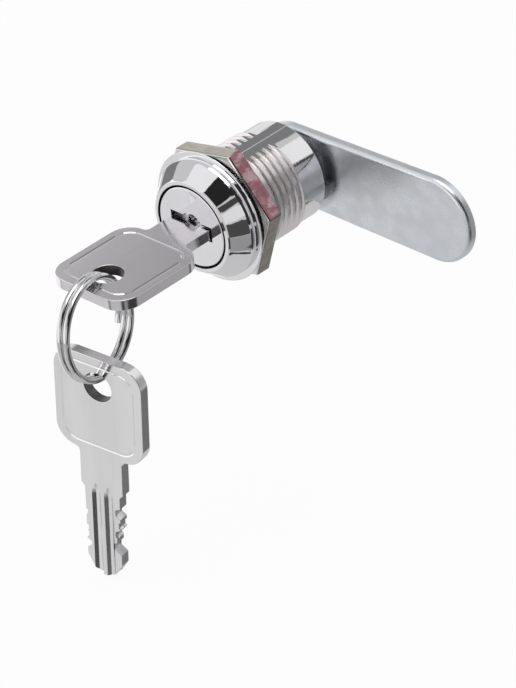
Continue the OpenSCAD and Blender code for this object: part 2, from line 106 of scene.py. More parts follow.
class Bench:
    """Modelling steps that several sub-assemblies share."""

    @staticmethod
    def pick(piece: Piece) -> None:
        """Makes one piece the only selected one, and the active one."""
        bpy.ops.object.select_all(action="DESELECT")
        piece.select_set(True)
        bpy.context.view_layer.objects.active = piece

    @staticmethod
    def named(name: str) -> Piece:
        """Names the piece that an operator has just added, and returns it."""
        piece = bpy.context.view_layer.objects.active
        piece.name = name
        piece.data.name = name
        return piece

    @staticmethod
    def copy_node(node: str, name: str) -> Piece:
        """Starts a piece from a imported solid, with its triangles merged into whole faces.

        Args:
            node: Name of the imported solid.
            name: Name of the new piece.

        Returns:
            The new piece, without a material.
        """
        piece = bpy.data.objects.new(name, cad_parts[node].data.copy())
        piece.data.name = name
        piece.data.materials.clear()
        bpy.context.scene.collection.objects.link(piece)
        Bench.pick(piece)
        bpy.ops.mesh.customdata_custom_splitnormals_clear()
        Bench.merge(piece)
        return piece

    @staticmethod
    def merge(piece: Piece) -> None:
        """Joins points that lie on each other, and triangles that lie in one plane."""
        Bench.pick(piece)
        bpy.ops.object.mode_set(mode="EDIT")
        bpy.ops.mesh.select_all(action="SELECT")
        bpy.ops.mesh.remove_doubles(threshold=0.002 * MM)
        bpy.ops.mesh.dissolve_limited(angle_limit=math.radians(0.4))
        bpy.ops.object.mode_set(mode="OBJECT")

    @staticmethod
    def box(name: str, size: Triple, centre: Triple, turn: float = 0.0) -> Piece:
        """Adds a block that is turned about the lock's axis.

        Args:
            name: Name of the block.
            size: Its sides in millimetres.
            centre: Its centre before the turn, in millimetres.
            turn: The turn about Y in degrees.

        Returns:
            The block, with its place in its mesh.
        """
        bpy.ops.object.select_all(action="DESELECT")
        bpy.ops.mesh.primitive_cube_add(size=1.0)
        block = Bench.named(name)
        block.data.transform(Matrix.Diagonal((*(s * MM for s in size), 1.0)))
        block.data.transform(Matrix.Translation(Vector(centre) * MM))
        block.data.transform(Matrix.Rotation(math.radians(turn), 4, "Y"))
        return block

    @staticmethod
    def join_solid(piece: Piece, tool: Piece, operation: str) -> None:
        """Cuts a tool from a piece, or adds it, and removes the tool.

        Args:
            piece: The piece that changes.
            tool: The solid that is used up.
            operation: DIFFERENCE or UNION.
        """
        step = piece.modifiers.new(operation.lower(), "BOOLEAN")
        step.operation = operation
        step.solver = "EXACT"
        step.object = tool
        Bench.pick(piece)
        bpy.ops.object.modifier_apply(modifier=step.name)
        bpy.data.objects.remove(tool, do_unlink=True)

    @staticmethod
    def bevel(piece: Piece, chosen: Callable[[Edge], bool], width: float, segments: int) -> None:
        """Rounds the sharp edges that a test chooses.

        Args:
            piece: The piece to round.
            chosen: Test for an edge, which sees its place and its faces.
            width: Width of the rounding in millimetres.
            segments: Number of faces across the rounding.
        """
        Bench.pick(piece)
        bpy.ops.object.mode_set(mode="EDIT")
        bpy.ops.mesh.select_mode(type="EDGE")
        bpy.ops.mesh.select_all(action="DESELECT")
        mesh = bmesh.from_edit_mesh(piece.data)
        for edge in mesh.edges:
            if len(edge.link_faces) == 2 and edge.calc_face_angle() > SHARP_EDGE and chosen(edge):
                edge.select_set(True)
        bmesh.update_edit_mesh(piece.data)
        bpy.ops.mesh.bevel(offset=width * MM, offset_type="OFFSET", segments=segments, profile=0.5,
                           affect="EDGES", clamp_overlap=False)
        bpy.ops.object.mode_set(mode="OBJECT")

    @staticmethod
    def smooth(piece: Piece, angle: float = 28.0) -> None:
        """Shades a piece smooth up to an angle, with normals that follow its large faces."""
        Bench.pick(piece)
        bpy.ops.object.shade_smooth_by_angle(angle=math.radians(angle))
        step = piece.modifiers.new("weighted", "WEIGHTED_NORMAL")
        step.keep_sharp = True
        bpy.ops.object.modifier_apply(modifier=step.name)

    @staticmethod
    def place(piece: Piece, body: Body, slot: Slot, material: bpy.types.Material, *nodes: str) -> None:
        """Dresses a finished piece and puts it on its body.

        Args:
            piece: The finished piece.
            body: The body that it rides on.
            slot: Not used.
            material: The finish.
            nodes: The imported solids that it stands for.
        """
        piece.data.materials.clear()
        piece.data.materials.append(material)
        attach(piece, body.value)
        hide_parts(*nodes)
        LOG.info("%s rides on %s, %d faces", piece.name, body.value, len(piece.data.polygons))


def radius(point: Vector) -> float:
    """Distance of a point from the lock's axis, in millimetres."""
    return math.hypot(point.x, point.z) / MM


def middle(edge: Edge) -> Vector:
    """The middle of an edge, in metres."""
    return (edge.verts[0].co + edge.verts[1].co) / 2


@dataclass(frozen=True)
class Easing:
    """A zone along and around the lock's axis whose sharp edges are rounded, in millimetres."""

    width: float
    segments: int
    y_from: float = -math.inf
    y_to: float = math.inf
    r_from: float = -1.0
    r_to: float = math.inf

    def holds(self, edge: Edge) -> bool:
        """Whether an edge lies in the zone."""
        at = middle(edge)
        return self.y_from * MM < at.y < self.y_to * MM and self.r_from < radius(at) < self.r_to

    def apply(self, piece: Piece) -> None:
        """Rounds the zone's sharp edges on a piece."""
        Bench.bevel(piece, self.holds, self.width, self.segments)


def grey(tone: float) -> tuple[float, float, float, float]:
    """A neutral colour of one tone."""
    return tone, tone, tone, 1.0


# Node graphs


@dataclass
class Graph:
    """A node tree with short calls for adding and joining nodes."""

    tree: bpy.types.NodeTree

    def add(self, kind: str, inputs: Optional[dict] = None, **settings: object) -> bpy.types.Node:
        """Adds a node.

        Args:
            kind: The node's type.
            inputs: Values or sockets for its inputs, by name or number.
            settings: The node's own properties.

        Returns:
            The new node.
        """
        node = self.tree.nodes.new(kind)
        for name, value in settings.items():
            setattr(node, name, value)
        for key, value in (inputs or {}).items():
            if isinstance(value, bpy.types.NodeSocket):
                self.tree.links.new(value, node.inputs[key])
            else:
                node.inputs[key].default_value = value
        return node

    def math(self, operation: str, first: object, second: object = 0.0) -> Socket:
        """Adds a Math node and returns its result."""
        return self.add("ShaderNodeMath", {0: first, 1: second}, operation=operation).outputs[0]

    def vector(self, operation: str, first: object, second: object = (0.0, 0.0, 0.0),
               result: str = "Value") -> Socket:
        """Adds a Vector Math node and returns one of its results."""
        return self.add("ShaderNodeVectorMath", {0: first, 1: second}, operation=operation).outputs[result]

    def step(self, value: Socket, low: float, high: float, start: float = 0.0, end: float = 1.0) -> Socket:
        """Runs a value smoothly from start to end while it goes from low to high.

        Args:
            value: The value to map.
            low: Where the run starts.
            high: Where it ends.
            start: Result up to low.
            end: Result from high on.

        Returns:
            The mapped value.
        """
        node = self.add("ShaderNodeMapRange", {"Value": value, "From Min": low, "From Max": high,
                                               "To Min": start, "To Max": end},
                        interpolation_type="SMOOTHSTEP")
        return node.outputs[0]

    def blend(self, mask: object, first: object, second: object) -> Socket:
        """Mixes two colours by a mask and returns the result."""
        node = self.add("ShaderNodeMix", {0: mask, 6: first, 7: second}, data_type="RGBA")
        return node.outputs[2]

    def noise(self, vector: Socket, scale: float, detail: float = 3.0, rough: float = 0.55) -> Socket:
        """Adds a noise pattern and returns its value, about 0.5 on average."""
        node = self.add("ShaderNodeTexNoise", {"Vector": vector, "Scale": scale, "Detail": detail,
                                               "Roughness": rough})
        return node.outputs[0]


class Effects:
    """Starts node groups, and builds once each the two that several finishes share."""

    _made: dict[str, bpy.types.NodeTree] = {}

    @classmethod
    def start(cls, name: str, inputs: Sequence[tuple[str, str, object]],
              outputs: Sequence[tuple[str, str]]) -> tuple[Graph, bpy.types.Node, bpy.types.Node]:
        """Starts a node group with its sockets.

        Args:
            name: Name of the group.
            inputs: Name, socket type and default of each input.
            outputs: Name and socket type of each output.

        Returns:
            The graph, its input node and its output node.
        """
        tree = bpy.data.node_groups.new(name, "ShaderNodeTree")
        for label, kind, default in inputs:
            socket = tree.interface.new_socket(label, in_out="INPUT", socket_type=kind)
            if default is not None:
                socket.default_value = default
        for label, kind in outputs:
            tree.interface.new_socket(label, in_out="OUTPUT", socket_type=kind)
        cls._made[name] = tree
        graph = Graph(tree)
        return graph, graph.add("NodeGroupInput"), graph.add("NodeGroupOutput")

    @classmethod
    def worn_metal(cls) -> bpy.types.NodeTree:
        """Handling marks on bare metal.

        Returns:
            A group that gives a colour, a roughness and a bump height.
        """
        if "worn_metal" in cls._made:
            return cls._made["worn_metal"]
        graph, given, result = cls.start(
            "worn_metal",
            [("Vector", "NodeSocketVector", None), ("Colour", "NodeSocketColor", (0.8, 0.8, 0.8, 1)),
             ("Shade", "NodeSocketColor", (0.6, 0.6, 0.6, 1)), ("Blotch Size", "NodeSocketFloat", 0.3),
             ("Grain Size", "NodeSocketFloat", 4.0), ("Roughness", "NodeSocketFloat", 0.2),
             ("Spread", "NodeSocketFloat", 0.1)],
            [("Colour", "NodeSocketColor"), ("Roughness", "NodeSocketFloat"), ("Height", "NodeSocketFloat")])
        vector = given.outputs["Vector"]
        blotch = graph.add("ShaderNodeTexNoise", {"Vector": vector, "Scale": given.outputs["Blotch Size"],
                                                  "Detail": 4.0, "Roughness": 0.6}).outputs[0]
        grain = graph.add("ShaderNodeTexNoise", {"Vector": vector, "Scale": given.outputs["Grain Size"],
                                                 "Detail": 3.0, "Roughness": 0.7}).outputs[0]
        patch = graph.step(blotch, 0.38, 0.66)
        mixed = graph.math("ADD", graph.math("MULTIPLY", patch, 0.6), graph.math("MULTIPLY", grain, 0.4))
        colour = graph.blend(mixed, given.outputs["Colour"], given.outputs["Shade"])
        swing = graph.math("MULTIPLY", graph.math("SUBTRACT", mixed, 0.5), given.outputs["Spread"])
        rough = graph.math("ADD", given.outputs["Roughness"], swing)
        graph.tree.links.new(colour, result.inputs["Colour"])
        graph.tree.links.new(rough, result.inputs["Roughness"])
        graph.tree.links.new(grain, result.inputs["Height"])
        return graph.tree

    @classmethod
    def ring_mask(cls) -> bpy.types.NodeTree:
        """A band about the lock's axis, such as the seat between the plug and its bore.

        Returns:
            A group that gives a mask, 1 between two radii and between two places along the axis.
        """
        if "ring_mask" in cls._made:
            return cls._made["ring_mask"]
        graph, given, result = cls.start(
            "ring_mask",
            [("Vector", "NodeSocketVector", None), ("Inner", "NodeSocketFloat", 7.0),
             ("Outer", "NodeSocketFloat", 8.0), ("From", "NodeSocketFloat", -6.0),
             ("To", "NodeSocketFloat", 0.0)],
            [("Mask", "NodeSocketFloat")])
        parts = graph.add("ShaderNodeSeparateXYZ", {0: given.outputs["Vector"]})
        flat = graph.add("ShaderNodeCombineXYZ", {0: parts.outputs[0], 2: parts.outputs[2]})
        length = graph.vector("LENGTH", flat.outputs[0])
        inside = graph.math("MULTIPLY", graph.math("GREATER_THAN", length, given.outputs["Inner"]),
                            graph.math("LESS_THAN", length, given.outputs["Outer"]))
        along = graph.math("MULTIPLY", graph.math("GREATER_THAN", parts.outputs[1], given.outputs["From"]),
                           graph.math("LESS_THAN", parts.outputs[1], given.outputs["To"]))
        graph.tree.links.new(graph.math("MULTIPLY", inside, along), result.inputs["Mask"])
        return graph.tree


# Finishes


@dataclass(frozen=True)
class Metal:
    """A bare or plated metal with blotches, a fine grain and an uneven polish."""

    name: str
    colour: Triple
    shade: Triple
    roughness: float
    spread: float = 0.06
    blotch: float = 0.25
    grain: float = 3.0
    stretch: Triple = (1.0, 1.0, 1.0)
    turn: Triple = (0.0, 0.0, 0.0)
    bump: float = 0.02
    bump_mm: float = 0.02

    def start(self) -> tuple[Graph, bpy.types.Node, bpy.types.Node, Socket]:
        """Sets up the shared part of the finish.

        Returns:
            The graph, its Principled node, the wear group and the place in millimetres.
        """
        material = bpy.data.materials.new(self.name)
        material.use_nodes = True
        graph = Graph(material.node_tree)
        shader = material.node_tree.nodes["Principled BSDF"]
        shader.inputs["Metallic"].default_value = 1.0
        place = graph.add("ShaderNodeTexCoord").outputs["Object"]
        in_mm = graph.add("ShaderNodeMapping", {"Vector": place, "Scale": (1000.0, 1000.0, 1000.0)}).outputs[0]
        turned = graph.add("ShaderNodeMapping",
                           {"Vector": in_mm, "Rotation": tuple(math.radians(a) for a in self.turn),
                            "Scale": self.stretch}).outputs[0]
        wear = graph.add("ShaderNodeGroup",
                         {"Vector": turned, "Colour": (*self.colour, 1.0), "Shade": (*self.shade, 1.0),
                          "Blotch Size": self.blotch, "Grain Size": self.grain,
                          "Roughness": self.roughness, "Spread": self.spread},
                         node_tree=Effects.worn_metal())
        return graph, shader, wear, in_mm

    def join(self, graph: Graph, shader: bpy.types.Node, colour: Socket, rough: Socket,
             height: Socket) -> bpy.types.Material:
        """Joins the finish's colour, roughness and bump to its shader.

        Args:
            graph: The material's graph.
            shader: Its Principled node.
            colour: The base colour.
            rough: The roughness.
            height: The height that the bump follows.

        Returns:
            The material.
        """
        bump = graph.add("ShaderNodeBump", {"Height": height, "Strength": self.bump,
                                            "Distance": self.bump_mm * MM})
        graph.tree.links.new(colour, shader.inputs["Base Color"])
        graph.tree.links.new(rough, shader.inputs["Roughness"])
        graph.tree.links.new(bump.outputs[0], shader.inputs["Normal"])
        return bpy.data.materials[self.name]

    def make(self) -> bpy.types.Material:
        """Builds the finish and returns its material."""
        graph, shader, wear, _ = self.start()
        return self.join(graph, shader, *wear.outputs[:3])


@dataclass(frozen=True)
class SeatedChrome(Metal):
    """Bright plating, with painted shade in the seat where the plug meets its bore."""

    seat_across: tuple[float, float] = (7.6, 8.12)
    seat_along: tuple[float, float] = (-5.97, -3.0)
    seat_rough: float = 0.5

    def paint_seat_shade(self, graph: Graph, in_mm: Socket, colour: Socket, rough: Socket) -> tuple[Socket, Socket]:
        """Paints near-black shade into the seat and dulls it.

        Args:
            graph: The material's graph.
            in_mm: The place in millimetres.
            colour: The colour elsewhere.
            rough: The roughness elsewhere.

        Returns:
            The colour and the roughness with the seat.
        """
        inner, outer = self.seat_across
        front, back = self.seat_along
        seat = graph.add("ShaderNodeGroup", {"Vector": in_mm, "Inner": inner, "Outer": outer, "From": front,
                                             "To": back}, node_tree=Effects.ring_mask()).outputs[0]
        dulled = graph.math("ADD", rough, graph.math("MULTIPLY", seat, self.seat_rough))
        # The seat's colour is painted shade: near-black where the gap between plug and bore lies in shadow.
        return graph.blend(seat, colour, SEAT_PAINTED_SHADE), dulled

    def make(self) -> bpy.types.Material:
        """Builds the finish and returns its material."""
        graph, shader, wear, in_mm = self.start()
        colour, rough = self.paint_seat_shade(graph, in_mm, wear.outputs["Colour"], wear.outputs["Roughness"])
        return self.join(graph, shader, colour, rough, wear.outputs["Height"])


@dataclass(frozen=True)
class HousingChrome(SeatedChrome):
    """Bright plating on the bezel, a duller cast skin on the barrel, and painted shade in the seat around the
    plug.
    """

    barrel_colour: Triple = (0.80, 0.76, 0.77)
    barrel_rough: float = 0.24
    barrel_from: tuple[float, float] = (0.0, 0.4)
    thread_to: tuple[float, float] = (12.6, 13.3)
    flat_turn: float = 6.0
    flat_h: float = 9.35

    def flats(self, graph: Graph, in_mm: Socket) -> Socket:
        """Masks the two relief flats of the barrel.

        Args:
            graph: The material's graph.
            in_mm: The place in millimetres.

        Returns:
            The mask.
        """
        across = Vector((math.sin(math.radians(self.flat_turn)), 0.0, math.cos(math.radians(self.flat_turn))))
        height = graph.vector("DOT_PRODUCT", in_mm, across)
        return graph.step(graph.math("ABSOLUTE", height), self.flat_h - 0.06, self.flat_h - 0.02)

    def make(self) -> bpy.types.Material:
        """Builds the finish and returns its material."""
        graph, shader, wear, in_mm = self.start()
        parts = graph.add("ShaderNodeSeparateXYZ", {0: in_mm})
        barrel = graph.step(parts.outputs[1], *self.barrel_from)
        thread = graph.math("MULTIPLY", barrel, graph.step(parts.outputs[1], *self.thread_to, 1.0, 0.0))
        thread = graph.math("MULTIPLY", thread, graph.math("SUBTRACT", 1.0, self.flats(graph, in_mm)))
        colour = graph.blend(thread, wear.outputs["Colour"], (*self.barrel_colour, 1.0))
        rough = graph.math("ADD", wear.outputs["Roughness"], graph.math("MULTIPLY", thread, self.barrel_rough))
        # Painted shade in the seat around the plug.
        colour, rough = self.paint_seat_shade(graph, in_mm, colour, rough)
        skin = graph.noise(in_mm, 1.1, 4.0, 0.6)
        return self.join(graph, shader, colour, rough, graph.math("MULTIPLY", skin, barrel))


@dataclass(frozen=True)
class NutZinc(Metal):
    """Yellow passivated zinc, with a rosy tint on one side, a darker, drabber flat low on the right, and a front
    face painted pale, partly a rubbed face and partly a painted reflection of the chrome bezel.
    """

    rose: Triple = (0.39, 0.175, 0.21)
    blush: Triple = (0.60, 0.41, 0.44)
    olive: Triple = (0.225, 0.20, 0.175)
    olive_worn: Triple = (0.29, 0.265, 0.235)
    # Pale colour of the front face: partly rubbed zinc, partly a painted reflection of the chrome bezel.
    pale: Triple = (0.84, 0.835, 0.83)
    rose_at: float = 41.4
    olive_at: float = -18.6
    flat_rise: tuple[float, float] = (10.9, 11.5)
    cloud_reach: float = 1.6
    front_end: tuple[float, float] = (0.3, 0.5)

    def side(self, graph: Graph, in_mm: Socket, cloud: Socket, angle: float) -> Socket:
        """Masks one flat of the nut, with a cloudy edge.

        Args:
            graph: The material's graph.
            in_mm: The place in millimetres.
            cloud: A noise pattern that breaks the edge.
            angle: The direction of the flat about the lock's axis, in degrees.

        Returns:
            The mask.
        """
        toward = Vector((math.cos(math.radians(angle)), 0.0, math.sin(math.radians(angle))))
        along = graph.vector("DOT_PRODUCT", in_mm, toward)
        lifted = graph.math("ADD", along, graph.math("MULTIPLY", graph.math("SUBTRACT", cloud, 0.5),
                                                       self.cloud_reach))
        return graph.step(lifted, *self.flat_rise)

    def make(self) -> bpy.types.Material:
        """Builds the finish and returns its material."""
        graph, shader, wear, in_mm = self.start()
        parts = graph.add("ShaderNodeSeparateXYZ", {0: in_mm})
        cloud = graph.noise(in_mm, 0.5, 4.0, 0.65)
        drawn = graph.add("ShaderNodeMapping", {"Vector": in_mm, "Scale": (0.55, 0.22, 0.55)}).outputs[0]
        streak = graph.step(graph.noise(drawn, 1.0, 4.0, 0.6), 0.47, 0.60)
        pink = graph.blend(streak, (*self.rose, 1.0), (*self.blush, 1.0))
        rosy = graph.math("MULTIPLY", self.side(graph, in_mm, cloud, self.rose_at),
                          graph.step(cloud, 0.25, 0.5, 0.4, 1.0))
        colour = graph.blend(rosy, wear.outputs["Colour"], pink)
        # The flat that faces down and to the right is darker and drabber than the rest.
        drab = graph.blend(streak, (*self.olive, 1.0), (*self.olive_worn, 1.0))
        colour = graph.blend(self.side(graph, in_mm, cloud, self.olive_at), colour, drab)
        # The front face is painted pale: a rubbed face, and a painted reflection of the chrome bezel in front of
        # it.
        front = graph.step(parts.outputs[1], *self.front_end, 1.0, 0.0)
        colour = graph.blend(front, colour, (*self.pale, 1.0))
        return self.join(graph, shader, colour, wear.outputs["Roughness"], wear.outputs["Height"])


@dataclass(frozen=True)
class KeyNickel(Metal):
    """Worn satin nickel, with painted shade on the wall of the hole that the ring runs through."""

    hole: Triple = (0.0, 0.0, 0.0)
    axis: Triple = (0.0, 0.0, 1.0)
    hole_shade_ends: tuple[float, float] = (2.93, 2.97)
    # Dark colour painted on the hole's wall as painted shade.
    wall: Triple = (0.17, 0.17, 0.165)
    wall_rough: float = 0.2

    def make(self) -> bpy.types.Material:
        """Builds the finish and returns its material."""
        graph, shader, wear, in_mm = self.start()
        off = graph.vector("SUBTRACT", in_mm, self.hole, "Vector")
        far = graph.vector("LENGTH", graph.vector("CROSS_PRODUCT", off, self.axis, "Vector"))
        # Painted shade on the wall of the hole, out to the hole's radius.
        hole_shade = graph.step(far, *self.hole_shade_ends, 1.0, 0.0)
        colour = graph.blend(hole_shade, wear.outputs["Colour"], (*self.wall, 1.0))
        rough = graph.math("ADD", wear.outputs["Roughness"], graph.math("MULTIPLY", hole_shade, self.wall_rough))
        return self.join(graph, shader, colour, rough, wear.outputs["Height"])


# Sub-assemblies


@dataclass
class Housing:
    """The cast housing, with the lead of its thread and the parting line of its mould."""

    pitch: float = 1.5
    crest_r: float = 9.9
    root_r: float = 9.5
    crest_w: float = 0.32
    root_w: float = 0.66
    first_y: float = 0.7
    turns: int = 8
    steps: int = 72
    flat_turn: float = 6.0
    flat_h: float = 9.35
    line_w: float = 0.24
    line_h: float = 0.1
    line_from: float = 0.6
    line_to: float = 18.35
    ridges: tuple[float, float] = (0.5, 12.7)
    easings: tuple[Easing, ...] = (
        Easing(0.06, 2, y_to=0.5, r_from=8.3, r_to=10.5),
        Easing(0.2, 3, y_to=-2.6, r_from=10.5),
        Easing(0.06, 2, y_to=0.5, r_from=12.0),
        Easing(0.08, 2, y_from=18.2, r_from=9.2),
    )
    finish: HousingChrome = field(default_factory=lambda: HousingChrome(
        "housing_chrome_bright", (0.87, 0.865, 0.885), (0.83, 0.825, 0.85), 0.035, spread=0.02,
        blotch=0.12, grain=1.2, bump=0.25, bump_mm=0.05))

    def fill_ridges(self, piece: Piece) -> None:
        """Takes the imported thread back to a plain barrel, by moving its grooves out to the crests.

        Args:
            piece: The copied housing.
        """
        to_flat = Matrix.Rotation(math.radians(-self.flat_turn), 3, "Y")
        half_flat = math.sqrt(self.crest_r ** 2 - self.flat_h ** 2)
        for vertex in piece.data.vertices:
            on_thread = self.ridges[0] < vertex.co.y / MM < self.ridges[1]
            if not (on_thread and self.flat_h + TOUCH_MM < radius(vertex.co) < self.crest_r - TOUCH_MM):
                continue
            place = to_flat @ vertex.co / MM
            out = self.crest_r / math.hypot(place.x, place.z)
            if abs(place.z * out) < self.flat_h:
                place.x, place.z = place.x * out, place.z * out
            else:
                place.x, place.z = math.copysign(half_flat, place.x), math.copysign(self.flat_h, place.z)
            vertex.co = to_flat.transposed() @ place * MM
        Bench.merge(piece)

    def thread_tool(self) -> Piece:
        """Winds a groove's section about the axis.

        Returns:
            The solid that cuts the thread.
        """
        outside = self.crest_r + 0.1
        groove = self.pitch - self.crest_w
        slope = (groove - self.root_w) / (self.crest_r - self.root_r)
        wide = self.root_w + slope * (outside - self.root_r)
        section = [(self.root_r, -self.root_w / 2), (self.root_r, self.root_w / 2),
                   (outside, wide / 2), (outside, -wide / 2)]
        bpy.ops.object.select_all(action="DESELECT")
        bpy.ops.mesh.primitive_circle_add(vertices=4, radius=MM)
        tool = Bench.named("thread_tool")
        for vertex, (out, along) in zip(tool.data.vertices, section):
            vertex.co = Vector((out, self.first_y + self.pitch / 2 + along, 0.0)) * MM
        wind = tool.modifiers.new("wind", "SCREW")
        wind.axis = "Y"
        wind.angle = math.tau
        wind.screw_offset = self.pitch * MM
        wind.iterations = self.turns
        wind.steps = self.steps
        wind.render_steps = self.steps
        wind.use_normal_calculate = True
        bpy.ops.object.modifier_apply(modifier=wind.name)
        bpy.ops.object.mode_set(mode="EDIT")
        bpy.ops.mesh.select_all(action="SELECT")
        bpy.ops.mesh.fill_holes(sides=0)
        bpy.ops.mesh.normals_make_consistent(inside=False)
        bpy.ops.object.mode_set(mode="OBJECT")
        return tool

    def build(self) -> Piece:
        """Cuts the thread, adds the parting line and eases the edges.

        Returns:
            The finished housing.
        """
        piece = Bench.copy_node("housing", "housing_cast")
        self.fill_ridges(piece)
        for easing in self.easings:
            easing.apply(piece)
        Bench.join_solid(piece, self.thread_tool(), "DIFFERENCE")
        length = self.line_to - self.line_from
        for side in (0.0, 180.0):
            line = Bench.box("parting_line", (self.line_w, length, 2 * self.line_h),
                             (0.0, self.line_from + length / 2, self.flat_h), self.flat_turn + side)
            Bench.join_solid(piece, line, "UNION")
        Bench.smooth(piece, 24.0)
        return piece

    def dress(self) -> None:
        """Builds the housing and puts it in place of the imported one."""
        Bench.place(self.build(), Body.HOUSING, Slot.HOUSING, self.finish.make(), "housing")


@dataclass
class MountingNut:
    """The hexagon nut, with eased corners."""

    easing: Easing = Easing(0.14, 3, r_from=10.4)
    finish: NutZinc = field(default_factory=lambda: NutZinc(
        "nut_zinc_yellow", (0.54, 0.506, 0.442), (0.45, 0.415, 0.355), 0.26, spread=0.16, blotch=0.35,
        grain=2.4, stretch=(1.0, 2.2, 1.0), bump=0.3, bump_mm=0.03))

    def build(self) -> Piece:
        """Eases the corners and returns the nut."""
        piece = Bench.copy_node("mounting_nut", "mounting_nut_hex")
        self.easing.apply(piece)
        Bench.smooth(piece, 30.0)
        return piece

    def dress(self) -> None:
        """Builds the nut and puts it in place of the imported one."""
        Bench.place(self.build(), Body.NUT, Slot.NUT, self.finish.make(), "mounting_nut")


@dataclass
class Plug:
    """The plug that the key turns, with its wafers and springs."""

    easing: Easing = Easing(0.07, 2, y_to=-5.95)
    notch: Triple = (3.15, 2.0, 1.0)
    notch_at: Triple = (-3.275, -5.25, 1.5)
    wafers: int = 6
    # The plug's chrome has painted shade in the ring where it meets its bore.
    finish: SeatedChrome = field(default_factory=lambda: SeatedChrome(
        "plug_chrome_bright", (0.88, 0.875, 0.895), (0.84, 0.835, 0.86), 0.04, spread=0.03, blotch=0.3,
        grain=2.0, bump=0.12, bump_mm=0.01, seat_across=(7.62, 9.0), seat_along=(-5.9, -3.0)))
    brass: Metal = field(default_factory=lambda: Metal(
        "wafer_brass_stamped", (0.80, 0.60, 0.26), (0.62, 0.44, 0.18), 0.28, spread=0.2, blotch=0.5,
        grain=5.0, stretch=(1.0, 0.3, 1.0), bump=0.2))
    steel: Metal = field(default_factory=lambda: Metal(
        "spring_steel_drawn", (0.62, 0.62, 0.64), (0.48, 0.48, 0.50), 0.22, spread=0.12, blotch=1.0,
        grain=9.0, bump=0.15))

    def build(self) -> Piece:
        """Widens one end of the slot, eases the edges of the face and returns the plug."""
        piece = Bench.copy_node("plug", "plug_turned")
        Bench.join_solid(piece, Bench.box("slot_notch", self.notch, self.notch_at), "DIFFERENCE")
        self.easing.apply(piece)
        Bench.smooth(piece, 28.0)
        return piece

    def dress(self) -> None:
        """Builds the plug and gives the wafers and springs their finishes."""
        Bench.place(self.build(), Body.PLUG, Slot.PLUG, self.finish.make(), "plug")
        brass, steel = self.brass.make(), self.steel.make()
        for number in range(1, self.wafers + 1):
            for name, material in ((f"wafer_{number}", brass), (f"wafer_spring_{number}", steel)):
                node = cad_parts[name]
                node.data.materials.clear()
                node.data.materials.append(material)
                LOG.info("%s keeps its packed shape", name)


@dataclass
class RearStack:
    """What the plug's square post carries: stop washer, cam, lock washer and screw."""

    cam_front: Easing = Easing(0.8, 6, y_to=20.45, r_from=6.0)
    cam_back: Easing = Easing(0.3, 3, y_from=21.45, r_from=6.0)
    small: Easing = Easing(0.1, 2)
    screw: Easing = Easing(0.08, 2)
    cam_finish: Metal = field(default_factory=lambda: Metal(
        "cam_zinc_satin", (0.80, 0.825, 0.865), (0.72, 0.745, 0.785), 0.32, spread=0.16, blotch=0.28, grain=3.2,
        bump=0.45, bump_mm=0.02))
    # Dark zinc for the stop washer, painted darker still so that it also stands as painted shade in the gap
    # between the barrel and the cam.
    stop_finish: Metal = field(default_factory=lambda: Metal(
        "stop_zinc_dark_and_painted_shade", (0.34, 0.34, 0.36), (0.24, 0.24, 0.26), 0.35, spread=0.2, blotch=0.4, grain=3.0))
    rear_finish: Metal = field(default_factory=lambda: Metal(
        "rear_zinc_bright", (0.70, 0.71, 0.74), (0.56, 0.57, 0.60), 0.2, spread=0.14, blotch=0.6, grain=4.0,
        bump=0.2))

    def eased(self, node: str, name: str, *easings: Easing) -> Piece:
        """Eases the edges of one part.

        Args:
            node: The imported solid.
            name: Name of the new piece.
            easings: The zones to round, in order.

        Returns:
            The finished piece.
        """
        piece = Bench.copy_node(node, name)
        for easing in easings:
            easing.apply(piece)
        Bench.smooth(piece, 32.0)
        return piece

    def dress(self) -> None:
        """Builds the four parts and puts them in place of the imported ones."""
        cam = self.eased("cam", "cam_plate", self.cam_front, self.cam_back)
        Bench.place(cam, Body.PLUG, Slot.CAM, self.cam_finish.make(), "cam")
        stop = self.eased("stop_washer", "stop_washer_plate", self.small)
        Bench.place(stop, Body.PLUG, Slot.STOP, self.stop_finish.make(), "stop_washer")
        rear = self.rear_finish.make()
        washer = self.eased("lock_washer", "lock_washer_split", self.small)
        Bench.place(washer, Body.PLUG, Slot.REAR, rear, "lock_washer")
        screw = self.eased("cam_screw", "cam_screw_cross", self.screw)
        Bench.place(screw, Body.PLUG, Slot.REAR, rear, "cam_screw")


